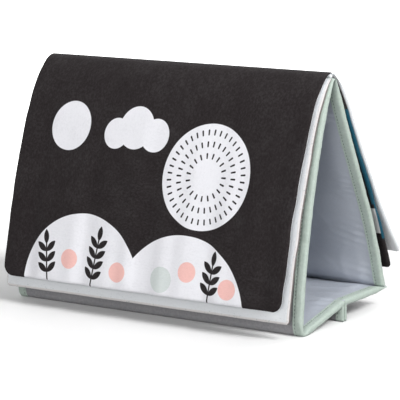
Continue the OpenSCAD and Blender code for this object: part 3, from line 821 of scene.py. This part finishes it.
def tapePiece(name, line, share, hand, seed, endRadius, half=stand["tapeHalf"], wide=stand["tapeWide"]):
    length = lengthsAlong(line)[-1]
    places = np.linspace(0, length, int(length / tapeLook["step"]))
    scale = np.interp(places, *share)[:, None] * roundedOff(length - places, endRadius)[:, None]
    skin = np.array(tapeSection)
    outside = np.concatenate([skin * (1, -1), skin[::-1]])
    back = skin[:-3]  # the inner side stops short of the folded edge
    back = np.stack([np.maximum(back[:, 0], tapeLook["liningFrom"]),
                     np.minimum(back[:, 1], tapeLook["liningHigh"])], axis=1)
    loop = np.concatenate([outside, back, (back * (1, -1))[::-1]])
    u = np.concatenate([[0], np.cumsum(np.linalg.norm(np.diff(loop * (wide, half), axis=0), axis=1))])

    t = np.broadcast_to(places[:, None], (len(places), len(loop)))
    face = np.sign(loop[:, 1])[None]
    isOutside = (np.arange(len(loop)) < len(outside))[None]
    near = np.exp(-((loop[:, 0] - tapeLook["stitchAt"]) / tapeLook["grooveWide"]) ** 2)[None]
    pucker = np.cos(math.tau * places / thread["pitch"])[:, None] * near * tapeLook["pucker"]
    lump = tapeLook["lump"] * softNoise(t, u + 0 * t, tapeLook["lumpSize"], seed)
    lump = lump + tapeLook["crumple"] * softNoise(t, u * 0.5 + 0 * t, tapeLook["crumpleSize"], seed + 1)
    rise = face * (pucker + lump) * isOutside
    wander = tapeLook["wander"] * softNoise(places, places * 0, tapeLook["wanderSize"], seed + 2)[:, None]
    wander = wander * (loop[None, :, 0] < tapeLook["wanderWide"])
    x = hand * (standHalf - loop[None, :, 0] * wide - wander)
    offset = loop[None, :, 1] * half * scale + rise * scale
    points = sweep(line, places, x, offset)
    cloth = np.stack([np.broadcast_to(u[None], t.shape), t, np.zeros_like(t)], axis=-1)
    closed = np.concatenate([points, points[:, :1]], axis=1)
    cloth = np.concatenate([cloth, cloth[:, :1]], axis=1)
    quads = gridQuads(*closed.shape[:2])
    threads, threadQuads = threadStitches(line, share, hand, half, wide)
    threads[:, 2] = np.maximum(threads[:, 2], stand["floor"])
    slots = np.concatenate([np.zeros(len(quads), int), np.ones(len(threadQuads), int)])
    allPoints = np.concatenate([closed.reshape(-1, 3), threads])
    allCloth = np.concatenate([cloth.reshape(-1, 3), threads])
    allQuads = np.concatenate([quads, threadQuads + closed.shape[0] * closed.shape[1]])
    piece = makePiece(name, allPoints, allQuads, allCloth, [mintTape, mintThread], slots)
    return piece


def shareTable(line, pinchAt=(), endShare=None, count=200):
    length = lengthsAlong(line)[-1]
    places = np.linspace(0, length, count)
    share = shareAlong(places, pinchAt)
    if endShare is not None:
        share = np.minimum(share, endShare[0] + (1 - endShare[0]) * (length - places) / endShare[1])
    return places, share


def baseShare(line, count=120):  # a base half is thin where it starts, at its fold
    places = np.linspace(0, lengthsAlong(line)[-1], count)
    grown = (places / stand["foldRun"]) ** stand["foldPower"]
    return places, np.minimum(1, stand["foldShare"] + (1 - stand["foldShare"]) * grown)


sides = ((-1, "left"), (1, "right"))
frontHalf = {"name": "front", "nodes": ["front", "base_front"], "liningSide": 1, "tapeEnd": 0.0015,
             "tapeSeed": 70, "liningSeed": 5, "outerSeed": 9, "folds": baseFolds}
rearPanel = {"name": "rear", "nodes": ["rear"], "liningSide": -1, "tapeEnd": 0.003,
             "tapeSeed": 80, "liningSeed": 15, "outerSeed": 19, "folds": rearFolds}
rearBase = {"name": "baseRear", "nodes": ["base_rear"], "liningSide": -1, "tapeEnd": 0.0015,
            "tapeSeed": 90, "liningSeed": 25, "outerSeed": 29, "folds": baseFolds}


# Each run is a side-view line with the share of full thickness along it
def dressPanel(panel, tapeRun, clothRun, attach):
    name, nodes, inner, folds = (panel[key] for key in ("name", "nodes", "liningSide", "folds"))
    tapes = []
    for hand, side in sides:
        tape = tapePiece(f"{name}Tape.{side}", *tapeRun, hand, panel["tapeSeed"] + hand,
                         endRadius=panel["tapeEnd"])
        attach(tape)
        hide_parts(*[f"{node}_{side}_binding" for node in nodes])
        tapes.append(tape)
    lining = clothLayer(f"{name}Lining", *clothRun, inner, liningCloth, folds, panel["liningSeed"])
    outer = clothLayer(f"{name}OuterCloth", *clothRun, -inner, greyCloth, outerFolds, panel["outerSeed"])
    for (sheet, length), word, edging in ((lining, "lining", tapes), (outer, "outer_cloth", [])):
        attach(sheet)
        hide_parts(*[f"{node}_{word}" for node in nodes])


def buildFrontHalf():  # one cloth runs down the panel and on along the base
    line, foldAt = frontLine()

    def overFold(piece):
        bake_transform(piece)
    run = line, shareTable(line, [foldAt])
    dressPanel(frontHalf, run, run, overFold)


def buildRearPanel():
    line = rearPanelLine()
    panel = line[line[:, 1] > rearFoot[1] + rearFlange["panelAbove"]]
    flange = [rearFoot + rearFlange["atFoot"], *(rearTip + step for step in rearFlange["atTip"])]
    skirt = np.concatenate([panel[:-1], rounded([panel[-1], *flange])])
    clothRun = skirt, shareTable(skirt, (), rearFlange["endShare"])
    dressPanel(rearPanel, (line, shareTable(line)), clothRun, lambda piece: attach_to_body(piece, "rear_stand"))


def buildRearBase():
    line = np.linspace(rearTip, finTop + (stand["finGap"], 0), stand["rearBasePoints"])
    run = line, baseShare(line)
    dressPanel(rearBase, run, run, lambda piece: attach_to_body(piece, "rear_base"))


fin = {
    "coreHalf": 0.0006, "tapeHalf": 0.0014, "tapeWide": 0.0075, "tapeEnd": 0.0012, "into": 0.0012,
    "foot": 0.0002, "linePoints": 14, "rows": 12, "columns": 120, "edgeRadius": 0.0008,
    "uneven": 0.12, "unevenSize": 0.01, "unevenSeed": 33, "wave": 0.00012, "waveSize": 0.02,
    "waveSeed": 34, "tapeSeed": 95,
}


def buildFin():
    for where, body in (("front", "front_base"), ("rear", "rear_base")):
        low, high = boxOf(f"fin_{where}_flap")
        middle = (low[1] + high[1]) / 2
        line = np.linspace([middle, high[2] + fin["into"]], [middle, fin["foot"]], fin["linePoints"])
        length = lengthsAlong(line)[-1]
        share = (np.array([0, length]), np.array([1.0, 1.0]))
        half = standHalf - stand["tapeThick"]
        places = np.linspace(0, length, fin["rows"])
        x = np.broadcast_to(np.linspace(-half, half, fin["columns"]), (fin["rows"], fin["columns"]))
        t = np.broadcast_to(places[:, None], x.shape)
        uneven = 1 + fin["uneven"] * softNoise(x, t, fin["unevenSize"], fin["unevenSeed"])
        thick = fin["coreHalf"] * roundedOff(length - places, fin["edgeRadius"])[:, None] * uneven
        bend = fin["wave"] * softNoise(x, t, fin["waveSize"], fin["waveSeed"]) * (t / length)
        flap = slabPiece(f"finFlap.{where}", line, places, x, (bend - thick, bend + thick), [greyCloth])
        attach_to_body(flap, body)
        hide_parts(f"fin_{where}_flap")
        for hand, side in sides:
            tape = tapePiece(f"finTape.{where}.{side}", line, share, hand, fin["tapeSeed"] + hand,
                             half=fin["tapeHalf"], wide=fin["tapeWide"], endRadius=fin["tapeEnd"])
            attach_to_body(tape, body)
        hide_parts(f"fin_{where}_binding")


def dressInside():  # boards in the panels, and strips that hold the fin shut
    for node in ("front_board", "rear_board", "base_front_board", "base_rear_board"):
        dress(node, greyBoard)
    for node in ("hook_strip", "loop_strip"):
        dress(node, fastenerStrip)


def dress(node, material):
    piece = frame["nodes"][node]
    piece.data.materials.clear()
    piece.data.materials.append(material)


# Studio: camera where the photo was taken from, soft lamps and a white floor
view = {"place": (1.065225, -1.543578, 0.428365), "look": (-0.542805, 0.822210, -0.171269),
        "roll": -0.177, "lens": 198, "sensor": 36}
lamps = [
    {"name": "front", "place": (-0.4, -2.4, 1.3), "aim": (0, 0.05, 0.08), "size": 1.8, "power": 9},
    {"name": "right", "place": (2.0, -0.35, 1.9), "aim": (0, 0.08, 0.04), "size": 1.2, "power": 62},
    {"name": "fill", "place": (0.9, -2.3, 0.6), "aim": (0, 0.05, 0.06), "size": 0.9, "power": 24},
    {"name": "above", "place": (0.3, 1.2, 2.0), "aim": (0, 0.06, 0.08), "size": 1.8, "power": 15},
    {"name": "rearLeft", "place": (-1.9, 1.5, 0.8), "aim": (0, 0.06, 0.08), "size": 1.4, "power": 15},
]
studio = {
    "floorSize": 14, "floorDrop": 0.0001, "floorRoughness": 0.9, "floorSpecular": 0.1,
    "floorColour": 0.97, "floorBounce": 0.45,  # as the camera sees it, and as it lights the book
    "glow": 0.03, "farGlow": 1.0, "glowFrom": 0.30, "glowTo": 0.9, "world": 0.17,
}


def setCamera():
    look = Vector(view["look"]).normalized()
    right = look.cross(Vector((0, 0, 1))).normalized()
    up = right.cross(look)
    roll = math.radians(view["roll"])
    across = right * math.cos(roll) + up * math.sin(roll)
    above = up * math.cos(roll) - right * math.sin(roll)
    data = bpy.data.cameras.new("camera")
    data.lens, data.sensor_width = view["lens"], view["sensor"]
    camera = linked("camera", data)
    turn = Matrix((across, above, -look)).transposed()
    camera.matrix_world = Matrix.Translation(view["place"]) @ turn.to_4x4()
    bpy.context.scene.camera = camera


def setLamps():
    for lamp in lamps:
        data = bpy.data.lights.new(lamp["name"], "AREA")
        data.shape, data.size, data.energy = "DISK", lamp["size"], lamp["power"]
        turn = (Vector(lamp["aim"]) - Vector(lamp["place"])).to_track_quat("-Z", "Y")
        light = linked(lamp["name"], data)
        light.matrix_world = Matrix.Translation(lamp["place"]) @ turn.to_matrix().to_4x4()


def seenDirectly(tree):  # 1 for what the camera sees, also in gloss or through glass
    rays = tree.nodes.new("ShaderNodeLightPath")
    seen = calc(tree, "MAXIMUM", rays.outputs["Is Camera Ray"], rays.outputs["Is Glossy Ray"])
    return calc(tree, "MAXIMUM", seen, rays.outputs["Is Transmission Ray"])


def setFloor():
    half = studio["floorSize"] / 2
    mesh = bpy.data.meshes.new("floor")
    corners = [(-half, -half, 0), (half, -half, 0), (half, half, 0), (-half, half, 0)]
    mesh.from_pydata(corners, [], [(0, 1, 2, 3)])
    floor = linked("floor", mesh)
    floor.location = (0, 0, -studio["floorDrop"])
    material = bpy.data.materials.new("floorPaint")
    material.use_nodes = True
    tree = material.node_tree
    shader = tree.nodes["Principled BSDF"]
    x, y, _ = splitPlace(tree, shaderPlace(tree, ""))
    away = distanceTo(tree, x, y, 0, 0)
    far = calc(tree, "DIVIDE", calc(tree, "SUBTRACT", away, studio["glowFrom"]),
               studio["glowTo"] - studio["glowFrom"], clamp=True)
    glow = calc(tree, "MULTIPLY_ADD", far, studio["farGlow"] - studio["glow"], studio["glow"])
    seen = seenDirectly(tree)
    paint = calc(tree, "MULTIPLY_ADD", seen, studio["floorColour"] - studio["floorBounce"],
                 studio["floorBounce"])
    feed(tree, shader, {
        "Base Color": paint, "Roughness": studio["floorRoughness"],
        "Specular IOR Level": studio["floorSpecular"], "Emission Color": (1, 1, 1),
        "Emission Strength": calc(tree, "MULTIPLY", seen, glow),
    })
    mesh.materials.append(material)


def setWorld():
    world = bpy.data.worlds.new("studioWorld")
    bpy.context.scene.world = world
    world.use_nodes = True
    tree = world.node_tree
    strength = calc(tree, "MULTIPLY_ADD", seenDirectly(tree), 1 - studio["world"], studio["world"])
    feed(tree, tree.nodes["Background"], {"Color": (1, 1, 1), "Strength": strength})


setCamera()
ridgeRoll()
hangLeaves()
print("leaves hung")
buildFrontHalf()
buildRearPanel()
buildRearBase()
buildFin()
dressInside()
print("stand built")
setLamps()
setFloor()
setWorld()
bpy.context.scene.view_settings.view_transform = "Standard"
print("studio set")
